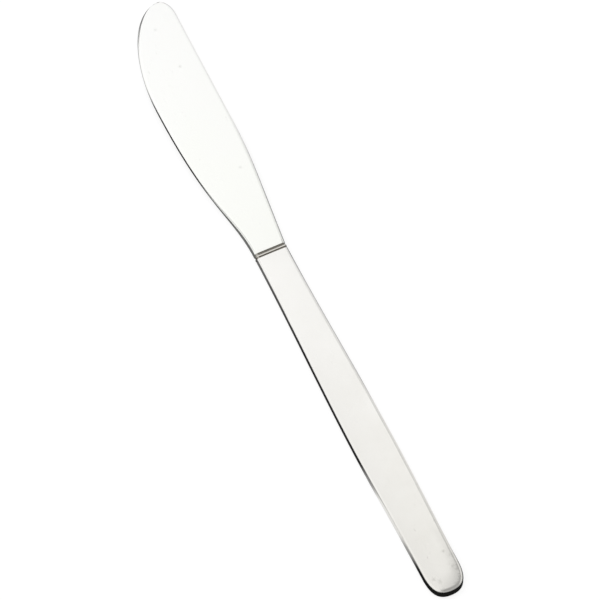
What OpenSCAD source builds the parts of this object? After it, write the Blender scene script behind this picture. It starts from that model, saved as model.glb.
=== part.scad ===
// Dessert knife with a hollow handle, in millimetres.
// It lies flat, as on a table: +Y runs to the tip of the blade, +X to the spine and +Z up.
// The origin is on the flat underside, at the middle of the handle's length and on its centre line.

/* [Handle] */
// Length of the handle, from its round end to the ferrule
handle_length = 115.5; // [105:0.5:130]
// Width of the handle where it is widest
handle_width = 11.9; // [11:0.1:15]
// Distance of the widest place from the round end
handle_widest_at = 49; // [35:1:65]
// Width of the handle where its round end begins
end_width = 10.8; // [10:0.1:13]
// Length of the round end
end_round = 7.7; // [5:0.1:10]
// Squareness of the round end, where 2 is an ellipse
end_squareness = 2.6; // [2:0.1:3]
// Width of the neck, where handle, ferrule and blade meet
neck_width = 9.6; // [9:0.1:11]
// Thickness of the handle at the neck
handle_thickness = 3.3; // [3.1:0.1:5]
// Rise of the handle's upper face at its round end, where it is thickest
end_swell = 0.9; // [0:0.1:1.5]
// Length over which the upper face rises
swell_length = 60; // [40:1:80]
// Radius of the handle's long edges
edge_radius = 1; // [0.8:0.1:1.4]
// Wall of the two pressed half shells
shell_wall = 0.4; // [0.35:0.05:0.6]

/* [Ferrule] */
// Length of the raised band
band_length = 0.4; // [0.3:0.1:2]
// Length of the groove between the blade and the band
front_groove = 0.7; // [0.3:0.1:1]
// Length of the groove between the band and the handle
back_groove = 0.5; // [0.3:0.1:1]
// Depth of both grooves
groove_depth = 0.4; // [0.2:0.05:0.5]
// Length of the spigot that closes the mouth of the handle
spigot_length = 5; // [3:0.5:8]

/* [Blade] */
// Length of the blade, from the ferrule to the tip
blade_length = 87.5; // [78:0.5:96]
// Reach of the bellied cutting edge from the centre line
belly_reach = 10.1; // [8:0.1:13]
// Distance of the belly's widest place from the ferrule
belly_at = 54; // [45:1:62]
// Lead of the belly's curve where it leaves the neck
belly_lead = 15; // [5:1:20]
// Run of the belly's curve into its widest place
belly_run = 35; // [25:1:40]
// Reach of the straight spine from the centre line
spine_reach = 8.4; // [7:0.1:10]
// Distance of the spine's corner from the ferrule
spine_corner_at = 34; // [25:1:42]
// Distance of the foremost point from the centre line, towards the spine
tip_offset = 5.2; // [2:0.1:6]
// Length of the round corner between spine and tip
tip_corner = 5.7; // [3:0.1:8]
// Length of the bolster, over which the neck thins down to the blade
bolster_length = 26; // [18:1:38]
// Thickness of the blade along its spine, at the end of the bolster
spine_thickness = 1.8; // [1.6:0.1:2.6]
// Thickness of the blade along its spine, at the tip
tip_thickness = 1.2; // [1:0.1:1.6]
// Thickness of the blade where its ground bevel starts
bevel_thickness = 1.3; // [0.9:0.1:1.6]
// Width of the ground bevel along the cutting edge
bevel_width = 1.4; // [0.8:0.1:2.5]
// Thickness of the blunt cutting edge itself
edge_thickness = 0.7; // [0.3:0.05:0.8]
// Radius of the corners of the spine
spine_radius = 0.4; // [0.2:0.05:0.5]

/* [Tang] */
// Length of the tang behind the bolster
tang_length = 45; // [36:1:60]
// Width of the tang
tang_width = 6; // [4.5:0.1:6.4]
// Thickness of the tang
tang_thickness = 1; // [0.8:0.1:1.2]
// Radius of the notches that key the tang into the cement
notch_radius = 1.2; // [0.6:0.1:1.4]
// Distance between the notches along the tang
notch_spacing = 9; // [6:0.5:12]

/* [Braze and fits] */
// Height of the braze bead, across the seam of the shells
braze_height = 0.6; // [0.4:0.1:0.8]
// Depth of the braze bead, from the shell's inner wall
braze_depth = 0.4; // [0.2:0.05:0.6]
// Gap round the tang in the ferrule, and round the spigot in the handle
fit_gap = 0.1; // [0.05:0.01:0.12]
// Film of bonding that separates the cement from what it holds
bond_gap = 0.05; // [0.02:0.01:0.1]

/* [Hidden] */

// Steps along the curves
side_steps = 30;
round_steps = 12;
corner_steps = 5;
bolster_steps = 26;
belly_steps = 8;
tip_steps = 26;
// Angle at which the sweep of the tip ends, just short of the foremost point
tip_sweep = 88.5;
// Overlap of a cut with what it cuts, and of joined shapes with each other
overlap = 0.5;

// Levels of the knife along its length and height
mid_z = handle_thickness / 2;
mouth_y = handle_length / 2;
end_y = -handle_length / 2;
widest_y = end_y + handle_widest_at;
round_y = end_y + end_round;
heel_y = mouth_y + back_groove + band_length + front_groove;
filling_y = mouth_y - spigot_length - bond_gap;
tang_end_y = heel_y - tang_length;
cavity_radius = edge_radius - shell_wall;

// Straight and eased change from a to b, as u goes from 0 to 1
function mix(a, b, u) = a + (b - a) * u;
function ease(u) = let (v = min(1, max(0, u))) v * v * (3 - 2 * v);

// Half width of the handle at y, in front of its round end
function handle_half_width(y) = y > widest_y
    ? mix(handle_width, neck_width, ease((y - widest_y) / (mouth_y - widest_y))) / 2
    : mix(handle_width, end_width, ease((widest_y - y) / (widest_y - round_y))) / 2;

// Rise of the upper face at y
function swell(y) = end_swell * ease((end_y + swell_length - y) / swell_length);

// Right half of the handle's outline, from front_y back to the middle of the round end
function half_outline(front_y) = concat(
    [for (i = [0 : side_steps]) let (y = mix(front_y, round_y, i / side_steps)) [handle_half_width(y), y]],
    [for (i = [1 : round_steps]) let (a = 90 * i / round_steps, e = 2 / end_squareness)
        [end_width / 2 * pow(cos(a), e), round_y - end_round * pow(sin(a), e)]]);

// Outward normals along that half outline: square to the axis at its front, along the axis at its end
function half_normals(p) = let (last = len(p) - 1) [for (i = [0 : last])
    i == 0 ? [1, 0] : i == last ? [0, -1] :
    let (t = p[i + 1] - p[i - 1]) [-t.y, t.x] / norm(t)];

// The half outline moved inwards by d, with its front pushed forwards by overrun
function inset_half(p, d, overrun = 0) = let (n = half_normals(p)) [for (i = [0 : len(p) - 1])
    p[i] - d * n[i] + (i == 0 ? [0, overrun] : [0, 0])];

// The half outline and its mirror image as one path, from right to left
function mirrored(p) = concat(p, [for (i = [len(p) - 2 : -1 : 0]) [-p[i].x, p[i].y]]);

// Triangles of a wall of quads between two rows of n points, and of a row closed across the path
function strip(a, b, n) = [for (j = [0 : n - 2]) each
    [[a + j, a + j + 1, b + j + 1], [a + j, b + j + 1, b + j]]];
function across(a, n) = let (end = (n - 1) / 2) concat([[a + end - 1, a + end, a + end + 1]],
    [for (j = [0 : end - 2]) each
        [[a + j, a + j + 1, a + n - 2 - j], [a + j, a + n - 2 - j, a + n - 1 - j]]]);
function turned(faces) = [for (f = faces) [f[2], f[1], f[0]]];

// Solid with the handle's outline, moved inwards by inset, with its edges rounded by radius.
// It runs from front_y to the round end, and is whole, or only the half above a level below the seam.
// What lies above the seam rises towards the end by a share of the swell.
module pillow(front_y, inset, radius, below_seam = 0, whole = false, overrun = 0, share = 1) {
    half = half_outline(front_y);
    turns = [for (k = [0 : corner_steps]) 90 * k / corner_steps];
    rise = [for (a = turns) handle_thickness / 2 - inset - radius * (1 - sin(a))];
    setback = [for (a = turns) inset + radius * (1 - cos(a))];
    upper = [for (k = [0 : corner_steps]) [setback[k], rise[k]]];
    lower = [for (k = [corner_steps : -1 : 0]) [setback[k], -rise[k]]];
    levels = concat(whole ? lower : [[inset, -below_seam]], upper);
    rows = [for (level = levels) [for (p = mirrored(inset_half(half, level[0], overrun)))
        [p.x, p.y, level[1] + (level[1] > 0 ? share * swell(p.y) : 0)]]];
    n = len(rows[0]);
    top = len(rows) - 1;
    mouth = concat([for (k = [0 : top]) k * n], [for (k = [top : -1 : 0]) k * n + n - 1]);
    faces = concat(
        [for (k = [0 : top - 1]) each strip(k * n, (k + 1) * n, n)],
        across(top * n, n),
        turned(across(0, n)),
        [for (k = [1 : len(mouth) - 2]) [mouth[0], mouth[k], mouth[k + 1]]]);
    translate([0, 0, mid_z]) polyhedron(points = [for (row = rows) each row], faces = faces);
}

// Half of the handle, above the seam: a pressed shell that is open at the mouth and along the seam
module half_shell(share) {
    difference() {
        pillow(mouth_y, 0, edge_radius, share = share);
        pillow(mouth_y, shell_wall, cavity_radius, below_seam = overlap, overrun = overlap, share = share);
    }
}

module front_shell() {
    color("#E9E7E2") half_shell(1);
}

module back_shell() {
    color("#DFDDD7") translate([0, 0, 2 * mid_z]) mirror([0, 0, 1]) half_shell(0);
}

// Band round the inside of the seam, between two insets from the shells' inner wall, open at its front
module seam_band(outer, inner, height, overrun = 0) {
    half = half_outline(filling_y);
    translate([0, 0, mid_z]) linear_extrude(height = height, center = true) difference() {
        polygon(mirrored(inset_half(half, shell_wall + outer, overrun)));
        polygon(mirrored(inset_half(half, shell_wall + inner, overrun + overlap)));
    }
}

module seam_braze() {
    color("#C8BFA6") seam_band(0, braze_depth, braze_height);
}

// Bar across the neck with rounded edges, from y0 to y1
module neck_bar(y0, y1, inset) {
    w = neck_width / 2 - inset;
    t = handle_thickness / 2 - inset;
    r = edge_radius - inset;
    corner = [for (k = [0 : corner_steps]) let (a = 90 * k / corner_steps)
        [w - r + r * cos(a), t - r + r * sin(a)]];
    right = concat([for (k = [corner_steps : -1 : 0]) [corner[k].x, -corner[k].y]], corner);
    left = [for (i = [len(right) - 1 : -1 : 0]) [-right[i].x, right[i].y]];
    translate([0, y0, mid_z]) rotate([-90, 0, 0]) linear_extrude(height = y1 - y0)
        polygon(concat(right, left));
}

// Straight bar of the tang's section, with a gap all round, from y0 to y1
module tang_bar(gap, y0, y1) {
    translate([-tang_width / 2 - gap, y0, mid_z - tang_thickness / 2 - gap])
        cube([tang_width + 2 * gap, y1 - y0, tang_thickness + 2 * gap]);
}

// The tang with its notches, grown by a gap all round
module tang(gap, front_y) {
    difference() {
        tang_bar(gap, tang_end_y - gap, front_y);
        for (side = [-1, 1], i = [1, 2])
            translate([side * tang_width / 2, tang_end_y + i * notch_spacing, 0])
                cylinder(r = notch_radius - gap, h = handle_thickness, $fn = 32);
    }
}

module ferrule() {
    color("#D9D7D0") difference() {
        union() {
            neck_bar(mouth_y, heel_y, groove_depth);
            neck_bar(mouth_y + back_groove, heel_y - front_groove, 0);
            neck_bar(mouth_y - spigot_length, mouth_y + back_groove, shell_wall + fit_gap);
        }
        tang_bar(fit_gap, mouth_y - spigot_length - overlap, heel_y + overlap);
    }
}

// Place on the belly's smooth curve, from 0 at the neck to 1 at the widest place, at v from the ferrule
function belly_along(u) = 3 * u * pow(1 - u, 2) * belly_lead
    + 3 * u * u * (1 - u) * (belly_at - belly_run) + pow(u, 3) * belly_at;
function belly_turn(v, low = 0, high = 1, halvings = 30) = let (u = (low + high) / 2)
    halvings == 0 ? u :
    belly_along(u) < v ? belly_turn(v, u, high, halvings - 1) : belly_turn(v, low, u, halvings - 1);

// Reach of the blade's two sides from the centre line, at v from the ferrule
function spine_x(v) = let (start = blade_length - tip_corner)
    v < spine_corner_at ? mix(neck_width / 2, spine_reach, v / spine_corner_at) :
    v < start ? spine_reach :
    mix(tip_offset, spine_reach, sqrt(1 - pow((v - start) / tip_corner, 2)));
function edge_x(v) = v < belly_at
    ? -mix(neck_width / 2, belly_reach, ease(belly_turn(v)))
    : mix(tip_offset, -belly_reach, sqrt(1 - pow((v - belly_at) / (blade_length - belly_at), 2)));

// Corner of a blade section: an arc about c with the half axes r, from the angle a0
function section_corner(c, r, a0) = [for (k = [0 : corner_steps]) let (a = a0 + 90 * k / corner_steps)
    [c.x + r.x * cos(a), c.y + r.y * sin(a)]];

// Section of the blade at v: the neck's rounded bar at the ferrule, a wedge with a ground edge beyond
function blade_section(v) = let (
    thin = ease(v / bolster_length),
    far = max(0, (v - bolster_length) / (blade_length - bolster_length)),
    spine_t = mix(handle_thickness, mix(spine_thickness, tip_thickness, far), thin) / 2,
    edge_t = mix(handle_thickness, bevel_thickness, thin) / 2,
    room = (spine_x(v) - edge_x(v)) / 2,
    spine_r = mix(edge_radius, spine_radius, thin),
    edge_r = [min(mix(edge_radius, bevel_width, thin), room),
        mix(edge_radius, (bevel_thickness - edge_thickness) / 2, thin)],
    s = [spine_x(v) - min(spine_r, room), spine_t - spine_r],
    e = [edge_x(v) + edge_r.x, edge_t - edge_r.y],
    sr = [min(spine_r, room), spine_r])
    concat(section_corner(s, sr, 0), section_corner(e, edge_r, 90),
        section_corner([e.x, -e.y], edge_r, 180), section_corner([s.x, -s.y], sr, 270));

module blade() {
    stations = concat(
        [for (i = [0 : bolster_steps - 1]) spine_corner_at * i / bolster_steps],
        [for (i = [0 : belly_steps - 1]) mix(spine_corner_at, belly_at, i / belly_steps)],
        [for (i = [0 : tip_steps]) mix(belly_at, blade_length, sin(tip_sweep * i / tip_steps))]);
    sections = [for (v = stations) [for (p = blade_section(v)) [p.x, heel_y + v, mid_z + p.y]]];
    n = len(sections[0]);
    last = len(sections) - 1;
    faces = concat(
        [for (i = [0 : last - 1]) each concat(strip(i * n, (i + 1) * n, n),
            [[i * n + n - 1, i * n, (i + 1) * n], [i * n + n - 1, (i + 1) * n, (i + 1) * n + n - 1]])],
        [for (j = [1 : n - 2]) [0, j + 1, j]],
        [for (j = [1 : n - 2]) [last * n, last * n + j, last * n + j + 1]]);
    color("#F2F2EE") union() {
        polyhedron(points = [for (s = sections) each s], faces = faces);
        tang(0, heel_y + overlap);
    }
}

module cement_filling() {
    color("#BDB7AA") difference() {
        pillow(filling_y, shell_wall + bond_gap, cavity_radius - bond_gap, whole = true);
        tang(bond_gap, filling_y + overlap);
        seam_band(-overlap, braze_depth + bond_gap, braze_height + 2 * bond_gap, overrun = overlap);
    }
}

blade();
ferrule();
front_shell();
back_shell();
seam_braze();
cement_filling();
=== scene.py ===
import bmesh
import bpy
import math
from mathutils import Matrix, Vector


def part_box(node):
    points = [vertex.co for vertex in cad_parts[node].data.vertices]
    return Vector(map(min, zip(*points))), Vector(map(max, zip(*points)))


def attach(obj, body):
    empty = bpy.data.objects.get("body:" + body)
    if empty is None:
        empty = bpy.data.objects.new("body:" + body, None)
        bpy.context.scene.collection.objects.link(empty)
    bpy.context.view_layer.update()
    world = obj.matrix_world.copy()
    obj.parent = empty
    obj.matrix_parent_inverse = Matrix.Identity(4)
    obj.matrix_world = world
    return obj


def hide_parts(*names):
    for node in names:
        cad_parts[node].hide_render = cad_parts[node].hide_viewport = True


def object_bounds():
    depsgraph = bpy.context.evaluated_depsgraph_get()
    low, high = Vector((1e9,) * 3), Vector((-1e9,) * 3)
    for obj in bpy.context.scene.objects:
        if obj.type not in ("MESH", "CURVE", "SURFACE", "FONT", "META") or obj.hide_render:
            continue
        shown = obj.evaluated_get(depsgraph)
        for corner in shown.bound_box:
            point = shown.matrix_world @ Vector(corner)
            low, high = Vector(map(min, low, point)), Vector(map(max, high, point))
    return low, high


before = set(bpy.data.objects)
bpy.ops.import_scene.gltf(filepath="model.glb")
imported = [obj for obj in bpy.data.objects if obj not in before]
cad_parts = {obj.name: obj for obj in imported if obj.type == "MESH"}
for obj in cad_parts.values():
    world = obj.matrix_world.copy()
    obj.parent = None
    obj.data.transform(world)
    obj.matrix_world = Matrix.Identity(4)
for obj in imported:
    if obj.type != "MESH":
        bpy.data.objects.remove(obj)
cad_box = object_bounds()

# BLADE
# One forging of stainless knife steel: the tang that hides in the handle, the bolster and the blade.
# The bolster carries on the neck's rounded bar and thins into a wedge, which is ground along its
# bellied edge and then polished all over.
MM = 0.001
blade_low, blade_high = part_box("blade")
ferrule_low, ferrule_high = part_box("ferrule")
heel_y = ferrule_high.y
neck_width = ferrule_high.x - ferrule_low.x
neck_thickness = ferrule_high.z - ferrule_low.z
mid_z = (ferrule_low.z + ferrule_high.z) / 2
edge_radius = 1 * MM
round_segments = 6
blade_length = 87.5 * MM
spine_reach = blade_high.x
spine_corner_at = 34 * MM
spine_bend = 11 * MM
belly_reach = -blade_low.x
belly_at = 54 * MM
belly_lead = 15 * MM
belly_run = 35 * MM
belly_halvings = 30
tip_offset = 5.2 * MM
tip_corner = 5.7 * MM
tip_sweep = math.radians(88.5)
bolster_length = 26 * MM
spine_thickness = 1.8 * MM
tip_thickness = 1.2 * MM
bevel_thickness = 1.3 * MM
neck_stations = 26
middle_stations = 10
tip_stations = 36
heel_break = 0.1 * MM
break_segments = 2
tang_width = 6 * MM
tang_thickness = 1 * MM
notch_radius = 1.2 * MM
notch_spacing = 9 * MM
notch_facets = 32
crease_angle = math.radians(40)
place_tolerance = 0.001 * MM


def mix(start, end, share):
    return start + (end - start) * share


def ease(share):
    """A share from 0 to 1, with a soft start and end."""
    share = min(1, max(0, share))
    return share * share * (3 - 2 * share)


def spine_at(along):
    """Reach of the straight spine from the centre line, at a distance from the heel."""
    corner_start = blade_length - tip_corner
    if along < spine_corner_at - spine_bend:
        return mix(neck_width / 2, spine_reach, along / spine_corner_at)
    if along < corner_start:
        short = max(0, spine_corner_at + spine_bend - along)
        neck_slope = (spine_reach - neck_width / 2) / spine_corner_at
        return spine_reach - neck_slope * short**2 / (4 * spine_bend)
    return mix(tip_offset, spine_reach, math.sqrt(1 - ((along - corner_start) / tip_corner) ** 2))


def belly_turn(along):
    """Place on the belly's smooth curve, from 0 at the neck to 1 at the widest place."""
    low, high = 0, 1
    for halving in range(belly_halvings):
        turn = (low + high) / 2
        lead = 3 * turn * (1 - turn) ** 2 * belly_lead
        run = 3 * turn**2 * (1 - turn) * (belly_at - belly_run)
        if lead + run + turn**3 * belly_at < along:
            low = turn
        else:
            high = turn
    return turn


def edge_at(along):
    """Reach of the bellied edge from the centre line, at a distance from the heel."""
    if along < belly_at:
        return -mix(neck_width / 2, belly_reach, ease(belly_turn(along)))
    sweep = (along - belly_at) / (blade_length - belly_at)
    return mix(tip_offset, -belly_reach, math.sqrt(1 - sweep**2))


def thickness_at(along):
    """Thickness along the spine and where the ground edge starts, at a distance from the heel."""
    thinned = ease(along / bolster_length)
    beyond = max(0, (along - bolster_length) / (blade_length - bolster_length))
    spine = mix(neck_thickness, mix(spine_thickness, tip_thickness, beyond), thinned)
    return spine, mix(neck_thickness, bevel_thickness, thinned)


def begin_block(name, low, high):
    """A cube between two corners, on its own, in edit mode."""
    bpy.ops.object.select_all(action="DESELECT")
    centre = (low + high) / 2
    bpy.ops.mesh.primitive_cube_add(size=1, location=centre, scale=high - low)
    bpy.ops.object.transform_apply(location=True, rotation=False, scale=True)
    bpy.context.object.name = name
    bpy.ops.object.mode_set(mode="EDIT")
    return bpy.context.object


def pick(test):
    """Select the vertices whose place passes a test, and the edges and faces between them."""
    piece = bpy.context.object
    shape = bmesh.from_edit_mesh(piece.data)
    for vert in shape.verts:
        vert.select = bool(test(vert.co))
    shape.select_flush_mode()
    bmesh.update_edit_mesh(piece.data)


def pick_edges(test):
    """Select the edges whose two ends pass a test."""
    bpy.ops.mesh.select_all(action="DESELECT")
    piece = bpy.context.object
    shape = bmesh.from_edit_mesh(piece.data)
    for edge in shape.edges:
        if test(edge.verts[0].co, edge.verts[1].co):
            edge.select_set(True)
    bmesh.update_edit_mesh(piece.data)


def round_long_edges(radius):
    """Round the edges that run along the knife."""
    pick_edges(lambda a, b: abs(a.y - b.y) > place_tolerance)
    bpy.ops.mesh.bevel(offset=radius, segments=round_segments, affect="EDGES")


def extrude(distance):
    """Push the picked face along the knife."""
    bpy.ops.mesh.extrude_region_move(TRANSFORM_OT_translate={"value": (0, distance, 0)})


def make_active(piece):
    """Select one object alone and make it the one that operators act on."""
    bpy.ops.object.select_all(action="DESELECT")
    bpy.context.view_layer.objects.active = piece
    piece.select_set(True)


def carve(piece, cutter):
    """Cut the shape of one object out of another."""
    cut = piece.modifiers.new("cut", "BOOLEAN")
    cut.operation = "DIFFERENCE"
    cut.solver = "EXACT"
    cut.object = cutter
    make_active(piece)
    bpy.ops.object.modifier_apply(modifier=cut.name)
    bpy.data.objects.remove(cutter)
    bpy.ops.object.mode_set(mode="EDIT")
    bpy.ops.mesh.select_all(action="SELECT")
    bpy.ops.mesh.remove_doubles(threshold=place_tolerance)
    bpy.ops.mesh.dissolve_degenerate(threshold=place_tolerance)
    bpy.ops.object.mode_set(mode="OBJECT")


def shade_polished(piece):
    """Smooth shading that keeps flat faces flat up to their rounded edges."""
    make_active(piece)
    bpy.ops.object.shade_smooth_by_angle(angle=crease_angle)
    weighted = piece.modifiers.new("weighted", "WEIGHTED_NORMAL")
    weighted.keep_sharp = True
    bpy.ops.object.modifier_apply(modifier=weighted.name)


stations = [spine_corner_at * i / neck_stations for i in range(1, neck_stations)]
stations += [mix(spine_corner_at, belly_at, i / middle_stations) for i in range(middle_stations)]
tip_turns = [tip_sweep * i / tip_stations for i in range(tip_stations + 1)]
stations += [mix(belly_at, blade_length, math.sin(turn)) for turn in tip_turns]

blade = begin_block(
    "polished_blade",
    Vector((-neck_width / 2, heel_y, mid_z - neck_thickness / 2)),
    Vector((neck_width / 2, heel_y + stations[0], mid_z + neck_thickness / 2)),
)
round_long_edges(edge_radius)

# At each station the end face is pushed on, its two sides move to the outline, and it is thinned.
before = 0
for along in stations:
    front = heel_y + along
    if before:
        pick(lambda co: co.y > heel_y + before - place_tolerance)
        extrude(along - before)
    spine_from, edge_from = spine_at(before), edge_at(before)
    spine_to, edge_to = spine_at(along), edge_at(along)
    middle = (spine_from + edge_from) / 2
    if along > blade_length - tip_corner:
        pick(lambda co: co.y > front - place_tolerance)
        narrowing = (spine_to - edge_to) / (spine_from - edge_from)
        bpy.ops.transform.resize(value=(narrowing, 1, 1), center_override=(middle, front, mid_z))
        bpy.ops.transform.translate(value=((spine_to + edge_to) / 2 - middle, 0, 0))
    else:
        pick(lambda co: co.y > front - place_tolerance and co.x > middle)
        bpy.ops.transform.translate(value=(spine_to - spine_from, 0, 0))
        pick(lambda co: co.y > front - place_tolerance and co.x < middle)
        bpy.ops.transform.translate(value=(edge_to - edge_from, 0, 0))
    middle = (spine_to + edge_to) / 2
    (spine_was, edge_was), (spine_is, edge_is) = thickness_at(before), thickness_at(along)
    pick(lambda co: co.y > front - place_tolerance and co.x > middle)
    bpy.ops.transform.resize(value=(1, 1, spine_is / spine_was), center_override=(middle, front, mid_z))
    pick(lambda co: co.y > front - place_tolerance and co.x < middle)
    bpy.ops.transform.resize(value=(1, 1, edge_is / edge_was), center_override=(middle, front, mid_z))
    before = along

pick_edges(lambda a, b: max(a.y, b.y) < heel_y + place_tolerance)
bpy.ops.mesh.bevel(offset=heel_break, segments=break_segments, affect="EDGES")
pick(lambda co: co.y < heel_y + place_tolerance)
extrude(0)
heel_width = neck_width - 2 * heel_break
heel_thickness = neck_thickness - 2 * heel_break
tang_share = (tang_width / heel_width, 1, tang_thickness / heel_thickness)
bpy.ops.transform.resize(value=tang_share, center_override=(0, heel_y, mid_z))
extrude(blade_low.y - heel_y)
bpy.ops.object.mode_set(mode="OBJECT")

for side in (-1, 1):
    for step in (1, 2):
        notch_place = (side * tang_width / 2, blade_low.y + step * notch_spacing, mid_z)
        bpy.ops.mesh.primitive_cylinder_add(
            vertices=notch_facets, radius=notch_radius, depth=neck_thickness, location=notch_place
        )
        carve(blade, bpy.context.object)
shade_polished(blade)

# Sockets of the node that mixes two colours
COLOUR_A = 6
COLOUR_B = 7
COLOUR_OUT = 2


def linear(colour):
    """Linear red, green, blue and alpha of an sRGB hex colour."""
    parts = [int(colour[i : i + 2], 16) / 255 for i in (1, 3, 5)]
    return [p / 12.92 if p <= 0.04045 else ((p + 0.055) / 1.055) ** 2.4 for p in parts] + [1]


def add_node(tree, kind, inputs, **settings):
    """A node with its settings, and its inputs set to values or linked from other nodes' outputs."""
    node = tree.nodes.new(kind)
    for name, value in settings.items():
        setattr(node, name, value)
    for key, value in inputs.items():
        if isinstance(value, bpy.types.NodeSocket):
            tree.links.new(value, node.inputs[key])
        else:
            node.inputs[key].default_value = value
    return node


def new_material(name):
    material = bpy.data.materials.new(name)
    material.use_nodes = True
    material.node_tree.nodes.clear()
    return material


def marks(tree, place, size, detail, roughness=0.5, turn=0, faint=0, full=1):
    """Marks of a size along each axis, from none where the noise is faint to whole ones where it is
    full. The turn is within the noise, so that no two patterns line up."""
    grain = [1 / reach for reach in size]
    spread = add_node(tree, "ShaderNodeMapping", {"Vector": place, "Rotation": (0, 0, turn), "Scale": grain})
    noise = add_node(
        tree,
        "ShaderNodeTexNoise",
        {"Vector": spread.outputs[0], "Scale": 1, "Detail": detail, "Roughness": roughness},
    )
    cut = add_node(
        tree, "ShaderNodeMapRange", {"Value": noise.outputs["Fac"], "From Min": faint, "From Max": full}
    )
    return cut.outputs[0]


def polished_stainless(name, bright, far_tone, tone_span, face_level, smudges_and_shade_spots):
    """Stainless steel buffed to a mirror. Fine lines run along the knife from the buffing wheel, faint
    clouds and hairline scratches tell of wiping and handling, and the colour shifts a little towards the
    far end of a span, on the handle partly as wear and partly as painted shade. A smudge is a place across
    and along the face, a reach in mm and a strength; some on the handle are painted shade."""
    # Real buffing lines and scratches are too fine to show, so these are as coarse as they need to be.
    line_size = (0.25 * MM, 25 * MM, 0.25 * MM)
    line_height = 0.02 * MM
    line_strength = 0.03
    scratch_size = (0.12 * MM, 7 * MM, 7 * MM)
    scuff_size = (0.45 * MM, 1.6 * MM, 1.6 * MM)
    scuff_and_shade_grey = "#A5A29B"
    scuff_and_shade_dulling = 0.5
    cloud_size = [12 * MM] * 3
    cloud_wear = 0.3
    far_end_share = 0.7
    blotch_size = [1.1 * MM] * 3
    wave_size = [22 * MM] * 3
    wave_height = 0.02 * MM
    polished_roughness = 0.11
    worn_roughness = 0.3

    material = new_material(name)
    tree = material.node_tree
    place = add_node(tree, "ShaderNodeTexCoord", {}).outputs["Object"]
    lines = marks(tree, place, line_size, detail=3)
    clouds = marks(tree, place, cloud_size, detail=5, roughness=0.6, faint=0.35, full=0.75)
    scratches = marks(tree, place, scratch_size, detail=2, turn=0.6, faint=0.66, full=0.74)
    scuffs_and_shade = marks(tree, place, scuff_size, detail=4, turn=-1.1, faint=0.7, full=0.76)
    blotches = marks(tree, place, blotch_size, detail=3, roughness=0.6, faint=0.3, full=0.7)
    waves = marks(tree, place, wave_size, detail=1)

    along = add_node(tree, "ShaderNodeSeparateXYZ", {0: place}).outputs["Y"]
    toward_far_end = add_node(
        tree,
        "ShaderNodeMapRange",
        {"Value": along, "From Min": tone_span[0], "From Max": tone_span[1]},
        interpolation_type="SMOOTHSTEP",
    ).outputs[0]
    scuffs_and_shade = add_node(tree, "ShaderNodeMath", {0: scuffs_and_shade, 1: toward_far_end}, operation="MULTIPLY").outputs[0]
    # Smudges dull the steel like scuffs; the handle's wide ones are painted shade
    for x, y, reach, strength in smudges_and_shade_spots:
        spot = Vector((x * MM, y * MM, face_level))
        away = add_node(tree, "ShaderNodeVectorMath", {0: place, 1: spot}, operation="DISTANCE")
        near = add_node(
            tree,
            "ShaderNodeMapRange",
            {"Value": away.outputs["Value"], "From Min": reach * MM, "From Max": 0, "To Max": strength},
            interpolation_type="SMOOTHSTEP",
        ).outputs[0]
        near = add_node(tree, "ShaderNodeMath", {0: near, 1: blotches}, operation="MULTIPLY").outputs[0]
        scuffs_and_shade = add_node(tree, "ShaderNodeMath", {0: scuffs_and_shade, 1: near}, operation="MAXIMUM").outputs[0]

    # Towards the far end of the span the colour shifts; on the handle this is partly painted shade
    tone_shift = add_node(tree, "ShaderNodeMath", {0: clouds, 1: cloud_wear}, operation="MULTIPLY")
    tone_shift = add_node(
        tree, "ShaderNodeMath", {0: toward_far_end, 1: far_end_share, 2: tone_shift.outputs[0]}, operation="MULTIPLY_ADD"
    )
    colour = add_node(
        tree,
        "ShaderNodeMix",
        {"Factor": tone_shift.outputs[0], COLOUR_A: linear(bright), COLOUR_B: linear(far_tone)},
        data_type="RGBA",
    )
    dulling = add_node(tree, "ShaderNodeMath", {0: scuffs_and_shade, 1: scuff_and_shade_dulling}, operation="MULTIPLY")
    colour = add_node(
        tree,
        "ShaderNodeMix",
        {"Factor": dulling.outputs[0], COLOUR_A: colour.outputs[COLOUR_OUT], COLOUR_B: linear(scuff_and_shade_grey)},
        data_type="RGBA",
    )

    haze = add_node(tree, "ShaderNodeMath", {0: lines, 1: clouds}, operation="MULTIPLY").outputs[0]
    for flaw in (scratches, scuffs_and_shade):
        haze = add_node(tree, "ShaderNodeMath", {0: flaw, 1: haze}, operation="MAXIMUM").outputs[0]
    roughness = add_node(
        tree, "ShaderNodeMapRange", {"Value": haze, "To Min": polished_roughness, "To Max": worn_roughness}
    )
    height = add_node(tree, "ShaderNodeMath", {0: waves, 1: wave_height}, operation="MULTIPLY")
    relief = add_node(tree, "ShaderNodeBump", {"Height": height.outputs[0], "Strength": 1, "Distance": 1})
    relief = add_node(
        tree,
        "ShaderNodeBump",
        {"Height": lines, "Strength": line_strength, "Distance": line_height, "Normal": relief.outputs[0]},
    )
    steel = add_node(
        tree,
        "ShaderNodeBsdfPrincipled",
        {
            "Base Color": colour.outputs[COLOUR_OUT],
            "Metallic": 1,
            "Roughness": roughness.outputs[0],
            "Normal": relief.outputs[0],
        },
    )
    add_node(tree, "ShaderNodeOutputMaterial", {"Surface": steel.outputs[0]})
    return material


# The blade's steel turns a shade paler towards its tip
blade_bright = "#FBFCF7"
blade_tip_tone = "#FEFEFD"
blade_face = mid_z + 0.7 * MM
blade_specks = [(0.8, 138.7, 0.9, 0.4), (2.1, 124.5, 0.8, 0.7), (3.7, 86.9, 0.9, 0.6)]
blade_span = (heel_y, heel_y + blade_length)
blade.data.materials.clear()
blade.data.materials.append(
    polished_stainless(
        "polished_stainless_blade", blade_bright, blade_tip_tone, blade_span, blade_face, blade_specks
    )
)
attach(blade, "root")
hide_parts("blade")

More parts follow.
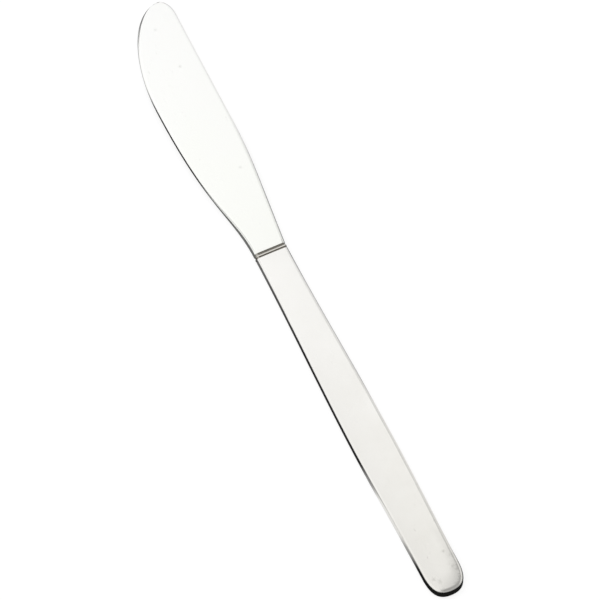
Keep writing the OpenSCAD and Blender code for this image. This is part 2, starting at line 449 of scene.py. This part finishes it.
# FERRULE
# A small stainless collar that is slid over the tang and closes the mouth of the handle. Two grooves
# are turned into it, so that a thin raised band stands between the bolster and the handle.
shell_low, shell_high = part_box("front_shell")
mouth_y = shell_high.y
shell_wall = 0.4 * MM
fit_gap = 0.1 * MM
spigot_inset = shell_wall + fit_gap
groove_depth = 0.4 * MM
back_groove = 0.5 * MM
band_length = 0.4 * MM
band_break = 0.06 * MM
band_back = mouth_y + back_groove
band_front = band_back + band_length
rim_margin = 0.9 * groove_depth
slot_overrun = 1 * MM


def neck_corner(inset, side):
    """Offset of a corner of the neck's bar from its centre, when it is smaller by an inset all round."""
    return Vector((side * (neck_width / 2 - inset), 0, side * (neck_thickness / 2 - inset)))


def on_band_rim(co):
    """Whether a point is on one of the two rims of the raised band."""
    at_rim = min(abs(co.y - band_back), abs(co.y - band_front)) < place_tolerance
    wide = abs(co.x) > neck_width / 2 - rim_margin
    high = abs(co.z - mid_z) > neck_thickness / 2 - rim_margin
    return at_rim and (wide or high)


ferrule = begin_block(
    "grooved_ferrule",
    Vector((0, ferrule_low.y, mid_z)) + neck_corner(spigot_inset, -1),
    Vector((0, mouth_y, mid_z)) + neck_corner(spigot_inset, 1),
)
round_long_edges(edge_radius - spigot_inset)
front, inset = mouth_y, spigot_inset
for next_inset, next_front in ((groove_depth, band_back), (0, band_front), (groove_depth, heel_y)):
    pick(lambda co: co.y > front - place_tolerance)
    extrude(0)
    was, will = neck_corner(inset, 1), neck_corner(next_inset, 1)
    bpy.ops.transform.resize(value=(will.x / was.x, 1, will.z / was.z), center_override=(0, front, mid_z))
    extrude(next_front - front)
    front, inset = next_front, next_inset

pick_edges(lambda a, b: on_band_rim(a) and on_band_rim(b) and abs(a.y - b.y) < place_tolerance)
bpy.ops.mesh.bevel(offset=band_break, segments=break_segments, affect="EDGES")
bpy.ops.object.mode_set(mode="OBJECT")

slot_half = Vector((tang_width / 2 + fit_gap, 0, tang_thickness / 2 + fit_gap))
slot_cutter = begin_block(
    "tang_slot",
    Vector((0, ferrule_low.y - slot_overrun, mid_z)) - slot_half,
    Vector((0, heel_y + slot_overrun, mid_z)) + slot_half,
)
bpy.ops.object.mode_set(mode="OBJECT")
carve(ferrule, slot_cutter)
shade_polished(ferrule)


def groove_steel(name):
    """Steel in the bottom of a groove, where no buffing wheel reaches: dull, and dark partly with old
    polish and partly with painted shade in the recess. It is paler towards the bellied side."""
    residue_size = [0.6 * MM] * 3
    # Groove colours: old polish and painted shade in the recess, and paler towards the bellied side
    shaded_residue_dark = "#757169"
    shaded_residue_pale = "#96928A"
    bellied_side_pale = "#D8D5CE"
    paling_from = -3.4 * MM
    paling_to = -4.2 * MM
    paling_share = 0.85
    residue_metallic = 0.4
    residue_roughness = 0.65

    material = new_material(name)
    tree = material.node_tree
    place = add_node(tree, "ShaderNodeTexCoord", {}).outputs["Object"]
    residue = marks(tree, place, residue_size, detail=4, roughness=0.6)
    colour = add_node(
        tree,
        "ShaderNodeMix",
        {"Factor": residue, COLOUR_A: linear(shaded_residue_dark), COLOUR_B: linear(shaded_residue_pale)},
        data_type="RGBA",
    )
    across = add_node(tree, "ShaderNodeSeparateXYZ", {0: place}).outputs["X"]
    paling = add_node(
        tree,
        "ShaderNodeMapRange",
        {"Value": across, "From Min": paling_from, "From Max": paling_to, "To Max": paling_share},
        interpolation_type="SMOOTHSTEP",
    )
    colour = add_node(
        tree,
        "ShaderNodeMix",
        {"Factor": paling.outputs[0], COLOUR_A: colour.outputs[COLOUR_OUT], COLOUR_B: linear(bellied_side_pale)},
        data_type="RGBA",
    )
    steel = add_node(
        tree,
        "ShaderNodeBsdfPrincipled",
        {
            "Base Color": colour.outputs[COLOUR_OUT],
            "Metallic": residue_metallic,
            "Roughness": residue_roughness,
        },
    )
    add_node(tree, "ShaderNodeOutputMaterial", {"Surface": steel.outputs[0]})
    return material


# Painted shade: the band's polished steel is darker than the handle's, and darker still towards the bolster
shaded_band_tone = "#DDDAD4"
shaded_band_heel_tone = "#D2CFC8"
side_limit = 0.5
ferrule.data.materials.clear()
ferrule.data.materials.append(
    polished_stainless(
        "polished_stainless_ferrule", shaded_band_tone, shaded_band_heel_tone, (mouth_y, heel_y), neck_thickness, []
    )
)
ferrule.data.materials.append(groove_steel("unpolished_groove_steel_and_shade"))
for face in ferrule.data.polygons:
    in_groove = mouth_y - place_tolerance < face.center.y < band_back or band_front < face.center.y
    on_side = abs(face.normal.y) < side_limit
    if in_groove and on_side:
        face.material_index = 1
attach(ferrule, "root")
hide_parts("ferrule")

# HANDLE SHELLS
# Two half shells pressed from thin stainless sheet, the lower one flat, the upper one slightly crowned
# and rising towards its round end. They are brazed together along a seam round the middle of the side
# wall, ground flush and polished.
end_y = shell_low.y
handle_width = shell_high.x - shell_low.x
widest_y = end_y + 49 * MM
end_width = 10.8 * MM
round_y = end_y + 7.7 * MM
end_squareness = 2.6
outline_steps = 24
mouth_overrun = 3 * MM
sliver = 0.02 * MM
rows_across = 12
rows_along = 36
end_rows = 12
crown_radius = 172 * MM
swell_length = 60 * MM
end_swell = shell_high.z - neck_thickness
rim_start = 0.2
rim_fall = 0.35 * MM
rim_length = 24 * MM

# The end's corner is a quarter of a squared ellipse, whose curve this pull brings through its diagonal.
corner_pull = (8 * 0.5 ** (1 / end_squareness) - 4) / 3
neck_third = (mouth_y - widest_y) / 3
tail_third = (widest_y - round_y) / 3
outline = [
    (neck_width / 2, mouth_y + mouth_overrun, 0, 0),
    (neck_width / 2, mouth_y, 0, neck_third),
    (handle_width / 2, widest_y, neck_third, tail_third),
    (end_width / 2, round_y, tail_third, corner_pull * (round_y - end_y)),
]

bpy.ops.object.select_all(action="DESELECT")
bpy.ops.curve.primitive_bezier_curve_add(location=(0, 0, mid_z))
handle = bpy.context.object
plate = handle.data
plate.dimensions = "2D"
plate.fill_mode = "BOTH"
plate.resolution_u = outline_steps
plate.extrude = neck_thickness / 2 - edge_radius
plate.bevel_depth = edge_radius
plate.bevel_resolution = round_segments
plate.offset = -edge_radius
spline = plate.splines[0]
spline.use_cyclic_u = True
spline.bezier_points.add(2 * len(outline) - 1)
knots = spline.bezier_points
for knot in knots:
    knot.handle_left_type = "FREE"
    knot.handle_right_type = "FREE"
for i, (x, y, pull_front, pull_back) in enumerate(outline):
    right, left = knots[i], knots[len(knots) - 1 - i]
    right.co = (x, y, 0)
    right.handle_left = (x, y + pull_front, 0)
    right.handle_right = (x, y - pull_back, 0)
    left.co = (-x, y, 0)
    left.handle_right = (-x, y + pull_front, 0)
    left.handle_left = (-x, y - pull_back, 0)
apex = knots[len(outline)]
apex.co = (0, end_y, 0)
apex.handle_left = (corner_pull * end_width / 2, end_y, 0)
apex.handle_right = (-corner_pull * end_width / 2, end_y, 0)
bpy.ops.object.convert(target="MESH")
bpy.ops.object.transform_apply(location=True, rotation=False, scale=False)
bpy.ops.object.mode_set(mode="EDIT")
bpy.ops.mesh.select_all(action="SELECT")
bpy.ops.mesh.remove_doubles(threshold=place_tolerance)
bpy.ops.mesh.bisect(
    plane_co=(0, mouth_y, mid_z), plane_no=(0, 1, 0), use_fill=True, clear_outer=True, threshold=sliver
)
bpy.ops.mesh.select_all(action="SELECT")
bpy.ops.mesh.normals_make_consistent(inside=False)

# The mouth is opened, and the flat faces are cut into rows, so that the upper one can be shaped.
pick(lambda co: co.y > mouth_y - sliver)
bpy.ops.transform.resize(value=(1, 0, 1), center_override=(0, mouth_y, mid_z))
bpy.ops.mesh.delete(type="ONLY_FACE")
pick(lambda co: abs(co.z - mid_z) > neck_thickness / 2 - place_tolerance)
bpy.ops.mesh.dissolve_faces()
for count, low, high, across in (
    (rows_across, Vector((-handle_width / 2, 0, 0)), Vector((handle_width / 2, 0, 0)), (1, 0, 0)),
    (rows_along, Vector((0, round_y, 0)), Vector((0, mouth_y, 0)), (0, 1, 0)),
    (end_rows, Vector((0, end_y, 0)), Vector((0, round_y, 0)), (0, 1, 0)),
):
    for i in range(1, count):
        bpy.ops.mesh.select_all(action="SELECT")
        bpy.ops.mesh.bisect(plane_co=low.lerp(high, i / count), plane_no=across, threshold=place_tolerance)
bpy.ops.mesh.select_all(action="SELECT")
bpy.ops.mesh.remove_doubles(threshold=sliver)

# Above the seam the wall rises towards the end, and falls to both sides and at the rim of the end.
shape = bmesh.from_edit_mesh(handle.data)
for vert in shape.verts:
    x, y, z = vert.co
    past = max(0, (round_y - y) / (round_y - end_y))
    nearness = (abs(2 * x / end_width) ** end_squareness + past**end_squareness) ** (1 / end_squareness)
    rim = max(0, (nearness - rim_start) / (1 - rim_start)) ** 2 * ease((end_y + rim_length - y) / rim_length)
    fall = x**2 / (2 * crown_radius) + rim_fall * rim
    rise = end_swell * ease((end_y + swell_length - y) / swell_length)
    if z > mid_z:
        vert.co.z += rise - fall * (z - mid_z) / (neck_thickness / 2)
bmesh.update_edit_mesh(handle.data)
bpy.ops.object.mode_set(mode="OBJECT")
handle.name = "front_handle_shell"
bpy.ops.object.duplicate()
back_half = bpy.context.object
back_half.name = "back_handle_shell"

# The handle darkens towards its end, partly as wear and partly as painted shade
handle_bright = "#FAF9F6"
handle_end_wear_and_shade = "#EFEDE7"
handle_span = (mouth_y, end_y)
# Smudges and specks near the end; the two wide ones on the right are painted shade at the end's rim
smudges_and_shade_spots = [
    (-3.3, -52.7, 0.9, 1.0),
    (-2.8, -53.4, 0.8, 0.7),
    (-2.2, -54.1, 1.1, 0.9),
    (3.8, -52.4, 1.0, 1.0),
    (3.6, -51.0, 2.4, 0.7),
    (2.8, -46.3, 0.8, 1.0),
    (4.4, -48.0, 1.9, 0.6),
]
handle_steel = polished_stainless(
    "polished_stainless_handle", handle_bright, handle_end_wear_and_shade, handle_span, shell_high.z, smudges_and_shade_spots
)
for shell, node, upper in ((handle, "front_shell", True), (back_half, "back_shell", False)):
    make_active(shell)
    bpy.ops.object.mode_set(mode="EDIT")
    bpy.ops.mesh.select_all(action="SELECT")
    bpy.ops.mesh.bisect(
        plane_co=(0, 0, mid_z),
        plane_no=(0, 0, 1),
        clear_inner=upper,
        clear_outer=not upper,
        threshold=place_tolerance,
    )
    bpy.ops.object.mode_set(mode="OBJECT")
    wall = shell.modifiers.new("wall", "SOLIDIFY")
    wall.thickness = shell_wall
    wall.offset = -1
    wall.use_even_offset = True
    bpy.ops.object.modifier_apply(modifier=wall.name)
    shade_polished(shell)
    shell.data.materials.clear()
    shell.data.materials.append(handle_steel)
    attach(shell, "root")
    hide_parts(node)

# SEAM BRAZE AND CEMENT
# Inside the handle, out of sight: a bead of silver braze along the seam, and the cement that was
# poured round the tang and set. Both keep their solids, and each gets the look of its own stuff.


def grainy(name, dark, pale, grain, metallic, roughness):
    """A dull stuff with an even grain, as braze left from the torch or set cement."""
    grain_strength = 0.4
    grain_height = grain / 4
    material = new_material(name)
    tree = material.node_tree
    place = add_node(tree, "ShaderNodeTexCoord", {}).outputs["Object"]
    grains = marks(tree, place, [grain] * 3, detail=6, roughness=0.65)
    colour = add_node(
        tree,
        "ShaderNodeMix",
        {"Factor": grains, COLOUR_A: linear(dark), COLOUR_B: linear(pale)},
        data_type="RGBA",
    )
    relief = add_node(
        tree, "ShaderNodeBump", {"Height": grains, "Strength": grain_strength, "Distance": grain_height}
    )
    stuff = add_node(
        tree,
        "ShaderNodeBsdfPrincipled",
        {
            "Base Color": colour.outputs[COLOUR_OUT],
            "Metallic": metallic,
            "Roughness": roughness,
            "Normal": relief.outputs[0],
        },
    )
    add_node(tree, "ShaderNodeOutputMaterial", {"Surface": stuff.outputs[0]})
    return material


braze_dark = "#A89F86"
braze_pale = "#D2CAB2"
braze_grain = 0.3 * MM
cement_dark = "#8F8777"
cement_pale = "#B9B1A0"
cement_grain = 0.5 * MM
braze = grainy(
    "torch_run_silver_braze", braze_dark, braze_pale, braze_grain, metallic=1, roughness=0.45
)
cement = grainy(
    "set_handle_cement", cement_dark, cement_pale, cement_grain, metallic=0, roughness=0.9
)
inner_looks = {"seam_braze": braze, "cement_filling": cement}
for node, material in inner_looks.items():
    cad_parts[node].data.materials.clear()
    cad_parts[node].data.materials.append(material)

# STUDIO
# A white sheet under the knife, a pale dome of light and one large soft lamp from the upper left. A card
# round the knife, two flags and a scrim overhead show only in the polished steel, so that its walls
# and rounded edges read dark or pale. Sizes and places without MM are in metres.
floor_size = 6.0
floor_drop = 0.02 * MM
floor_lift = 0.8
floor_grey = "#909090"
floor_roughness = 0.9


def lay_sheet(name, size, centre, turn):
    """A flat sheet of a size, turned about its centre, with its place in its mesh."""
    bpy.ops.object.select_all(action="DESELECT")
    bpy.ops.mesh.primitive_plane_add(size=1)
    sheet = bpy.context.object
    sheet.name = name
    sheet.scale = (*size, 1)
    sheet.rotation_euler = turn
    sheet.location = centre
    bpy.ops.object.transform_apply(location=True, rotation=True, scale=True)
    return sheet


flat = (0, 0, 0)
floor = lay_sheet("floor", (floor_size, floor_size), (0, 0, cad_box[0].z - floor_drop), flat)
# Matt paper: even and white to the lens and in the steel, but it takes the knife's shadow
floor_paper = new_material("white_paper")
tree = floor_paper.node_tree
rays = add_node(tree, "ShaderNodeLightPath", {}).outputs
seen = rays["Is Camera Ray"]
for ray in ("Is Glossy Ray", "Is Transmission Ray"):
    seen = add_node(tree, "ShaderNodeMath", {0: seen, 1: rays[ray]}, operation="MAXIMUM").outputs[0]
lift = add_node(tree, "ShaderNodeMath", {0: seen, 1: floor_lift}, operation="MULTIPLY")
paper = add_node(
    tree,
    "ShaderNodeBsdfPrincipled",
    {
        "Base Color": linear(floor_grey),
        "Roughness": floor_roughness,
        "Specular IOR Level": 0,
        "Emission Color": linear("#FFFFFF"),
        "Emission Strength": lift.outputs[0],
    },
)
add_node(tree, "ShaderNodeOutputMaterial", {"Surface": paper.outputs[0]})
floor.data.materials.append(floor_paper)


def show_in_steel_only(sheet):
    """Keep a sheet out of the picture and of the light, so that only polished steel shows it."""
    sheet.visible_camera = False
    sheet.visible_diffuse = False
    sheet.visible_shadow = False
    sheet.visible_transmission = False


# Places along the knife in mm, and how pale the card is there, on its left side and its right side
card_size = 1.6
card_from = -60 * MM
card_to = 160 * MM
card_left_to = -1 * MM
card_right_from = 4 * MM
left_card = [
    (-60, 0.01), (-47, 0.01), (-40, 0.35), (-34, 0.8), (-24, 0.85), (-17, 0.3), (-10, 0.02), (25, 0.02),
    (45, 0.07), (55, 0.13), (70, 0.16), (80, 0.12), (95, 0.01), (116, 0.01), (129, 0.5), (138, 0.45),
    (146, 0.02), (160, 0.02),
]
right_card = [
    (-60, 0.01), (-48, 0.05), (-42, 0.75), (5, 0.85), (15, 0.45), (45, 0.45), (60, 0.2), (66, 0.3),
    (71, 0.3), (77, 0.04), (92, 0.04), (98, 0.3), (108, 0.88), (138, 0.88), (148, 0.2), (160, 0.2),
]
card = lay_sheet("dark_card", (card_size, card_size), (0, 0, cad_box[0].z - floor_drop / 2), flat)
card_black = new_material("black_card")
tree = card_black.node_tree
place = add_node(tree, "ShaderNodeTexCoord", {}).outputs["Object"]
place = add_node(tree, "ShaderNodeSeparateXYZ", {0: place}).outputs
along = add_node(
    tree, "ShaderNodeMapRange", {"Value": place["Y"], "From Min": card_from, "From Max": card_to}
)
sides = []
for stops in (left_card, right_card):
    ramp = add_node(tree, "ShaderNodeValToRGB", {"Fac": along.outputs[0]})
    ramp.color_ramp.interpolation = "EASE"
    elements = ramp.color_ramp.elements
    elements.remove(elements[1])
    for mark, paleness in stops:
        share = (mark * MM - card_from) / (card_to - card_from)
        element = elements[0] if share == 0 else elements.new(share)
        element.color = (paleness, paleness, paleness, 1)
    sides.append(ramp.outputs["Color"])
rightness = add_node(
    tree,
    "ShaderNodeMapRange",
    {"Value": place["X"], "From Min": card_left_to, "From Max": card_right_from},
    interpolation_type="SMOOTHSTEP",
)
shade = add_node(
    tree,
    "ShaderNodeMix",
    {"Factor": rightness.outputs[0], COLOUR_A: sides[0], COLOUR_B: sides[1]},
    data_type="RGBA",
)
board = add_node(tree, "ShaderNodeEmission", {"Color": shade.outputs[COLOUR_OUT], "Strength": 1})
add_node(tree, "ShaderNodeOutputMaterial", {"Surface": board.outputs[0]})
card.data.materials.append(card_black)
show_in_steel_only(card)

# Shade, size, centre and turn of each flag, the axis along which it fades into the pale surroundings, and
# how far from its middle the fading starts and ends, in mm
upright = math.radians(90)
surroundings = "#F4F4F4"
flags = (
    ("belly_flag", "#0C0C0C", (60, 68), (-60, 126, 30), (0, upright, 0), "Y", 20, 34),
    ("tip_flag", "#7A7A7A", (62, 75), (-11, 206, 37.5), (upright, 0, 0), "X", 19, 31),
)
for name, dye, size, centre, turn, axis, fade_from, fade_to in flags:
    flag = lay_sheet(name, Vector(size) * MM, Vector(centre) * MM, turn)
    cloth = new_material(name + "_cloth")
    tree = cloth.node_tree
    place = add_node(tree, "ShaderNodeTexCoord", {}).outputs["Object"]
    place = add_node(tree, "ShaderNodeSeparateXYZ", {0: place}).outputs[axis]
    middle = centre["XYZ".index(axis)] * MM
    away = add_node(tree, "ShaderNodeMath", {0: place, 1: middle}, operation="SUBTRACT")
    away = add_node(tree, "ShaderNodeMath", {0: away.outputs[0]}, operation="ABSOLUTE")
    fade = add_node(
        tree,
        "ShaderNodeMapRange",
        {"Value": away.outputs[0], "From Min": fade_from * MM, "From Max": fade_to * MM},
        interpolation_type="SMOOTHSTEP",
    )
    shade = add_node(
        tree,
        "ShaderNodeMix",
        {"Factor": fade.outputs[0], COLOUR_A: linear(dye), COLOUR_B: linear(surroundings)},
        data_type="RGBA",
    )
    board = add_node(tree, "ShaderNodeEmission", {"Color": shade.outputs[COLOUR_OUT], "Strength": 1})
    add_node(tree, "ShaderNodeOutputMaterial", {"Surface": board.outputs[0]})
    flag.data.materials.append(cloth)
    show_in_steel_only(flag)

# The scrim's glow grows towards the tip, slopes from side to side, and falls off at the near right.
# Each range gives two places, and the glow or the share of it there.
scrim_height = 0.6
scrim_width = 1.0
scrim_near = -0.7
scrim_far = 0.62
scrim_x = 0.136
glow_along = {"From Min": 0.16, "From Max": 0.4, "To Min": 0.94, "To Max": 0.985}
slope_along = {"From Min": 0.27, "From Max": 0.35, "To Min": 0.9, "To Max": -0.75}
slope_across = {"From Min": 0.086, "From Max": 0.186, "To Min": -0.05, "To Max": 0.05}
falloff_aside = {"From Min": -0.25, "From Max": 0.08, "To Min": 0.4, "To Max": 1}
scrim_centre = Vector((scrim_x, (scrim_near + scrim_far) / 2, scrim_height))
scrim = lay_sheet("overhead_scrim", (scrim_width, scrim_far - scrim_near), scrim_centre, flat)
scrim_cloth = new_material("white_scrim")
tree = scrim_cloth.node_tree
place = add_node(tree, "ShaderNodeTexCoord", {}).outputs["Object"]
place = add_node(tree, "ShaderNodeSeparateXYZ", {0: place}).outputs
aside = add_node(tree, "ShaderNodeMath", {0: place["Y"], 1: place["X"]}, operation="SUBTRACT")
glow = add_node(
    tree, "ShaderNodeMapRange", {"Value": place["Y"], **glow_along}, interpolation_type="SMOOTHSTEP"
)
slope = add_node(
    tree, "ShaderNodeMapRange", {"Value": place["Y"], **slope_along}, interpolation_type="SMOOTHSTEP"
)
rightward = add_node(tree, "ShaderNodeMapRange", {"Value": place["X"], **slope_across})
rightward = add_node(
    tree, "ShaderNodeMath", {0: rightward.outputs[0], 1: slope.outputs[0], 2: 1}, operation="MULTIPLY_ADD"
)
falloff = add_node(
    tree, "ShaderNodeMapRange", {"Value": aside.outputs[0], **falloff_aside}, interpolation_type="SMOOTHSTEP"
)
for dimming in (rightward, falloff):
    glow = add_node(
        tree, "ShaderNodeMath", {0: glow.outputs[0], 1: dimming.outputs[0]}, operation="MULTIPLY"
    )
cloth = add_node(tree, "ShaderNodeEmission", {"Strength": glow.outputs[0]})
add_node(tree, "ShaderNodeOutputMaterial", {"Surface": cloth.outputs[0]})
scrim.data.materials.append(scrim_cloth)
show_in_steel_only(scrim)

# The dome is brightest at the far left, dimmer near the camera, and dark low down beyond the tip. Each
# range gives two parts of a direction, from -1 to 1, and the light or the share of it from there.
bright_side = Vector((-0.6, 0.5, 0.6)).normalized()
dome_rise = {"From Min": -0.8, "From Max": 0.5, "To Min": 0.62, "To Max": 0.97}
near_dimming = {"From Min": -0.95, "From Max": -0.25, "To Min": 0.55, "To Max": 1}
far_dark = {"From Min": 0.84, "From Max": 0.66, "To Min": 0.1, "To Max": 1}
far_dark_top = {"From Min": 0.32, "From Max": 0.46, "To Min": 0, "To Max": 1}
world = bpy.data.worlds.new("pale_dome")
bpy.context.scene.world = world
world.use_nodes = True
tree = world.node_tree
tree.nodes.clear()
place = add_node(tree, "ShaderNodeTexCoord", {}).outputs["Generated"]
facing = add_node(tree, "ShaderNodeVectorMath", {0: place, 1: bright_side}, operation="DOT_PRODUCT")
towards = add_node(tree, "ShaderNodeSeparateXYZ", {0: place}).outputs
rise = add_node(tree, "ShaderNodeMapRange", {"Value": facing.outputs["Value"], **dome_rise})
near_side = add_node(
    tree, "ShaderNodeMapRange", {"Value": towards["Y"], **near_dimming}, interpolation_type="SMOOTHSTEP"
)
beyond = add_node(
    tree, "ShaderNodeMapRange", {"Value": towards["Y"], **far_dark}, interpolation_type="SMOOTHSTEP"
)
above = add_node(
    tree, "ShaderNodeMapRange", {"Value": towards["Z"], **far_dark_top}, interpolation_type="SMOOTHSTEP"
)
clear = add_node(tree, "ShaderNodeMath", {0: beyond.outputs[0], 1: above.outputs[0]}, operation="MAXIMUM")
brightness = rise
for dimming in (near_side, clear):
    brightness = add_node(
        tree, "ShaderNodeMath", {0: brightness.outputs[0], 1: dimming.outputs[0]}, operation="MULTIPLY"
    )
sky = add_node(
    tree, "ShaderNodeBackground", {"Color": linear("#FFFFFF"), "Strength": brightness.outputs[0]}
)
add_node(tree, "ShaderNodeOutputWorld", {"Surface": sky.outputs[0]})

lamp_place = Vector((-0.8, 0.4, 0.9))
lamp_aim = Vector((0, 0.04, 0))
lamp_size = 0.7
lamp_power = 1.4
bpy.ops.object.light_add(type="AREA", location=lamp_place)
lamp = bpy.context.object
lamp.name = "soft_lamp"
lamp.data.shape = "SQUARE"
lamp.data.size = lamp_size
lamp.data.energy = lamp_power
lamp.visible_glossy = False
lamp.rotation_euler = (lamp_aim - lamp_place).to_track_quat("-Z", "Y").to_euler()

# The camera looks down over the handle's end, from far enough to show the knife almost without perspective.
view_azimuth = math.radians(-25.215)
view_elevation = math.radians(62)
view_distance = 1442 * MM
view_aim = Vector((0.911, 41.315, 2.177)) * MM
view_reach = 20
picture_width = 167.84 * MM
sensor_width = 36
level = math.cos(view_elevation)
towards_camera = Vector(
    (math.sin(view_azimuth) * level, -math.cos(view_azimuth) * level, math.sin(view_elevation))
)
bpy.ops.object.camera_add(location=view_aim + view_distance * towards_camera)
camera = bpy.context.object
camera.name = "camera"
camera.rotation_euler = (-towards_camera).to_track_quat("-Z", "Y").to_euler()
camera.data.sensor_width = sensor_width
camera.data.lens = sensor_width * view_distance / picture_width
camera.data.clip_end = view_reach
bpy.context.scene.camera = camera
bpy.context.scene.view_settings.view_transform = "Standard"
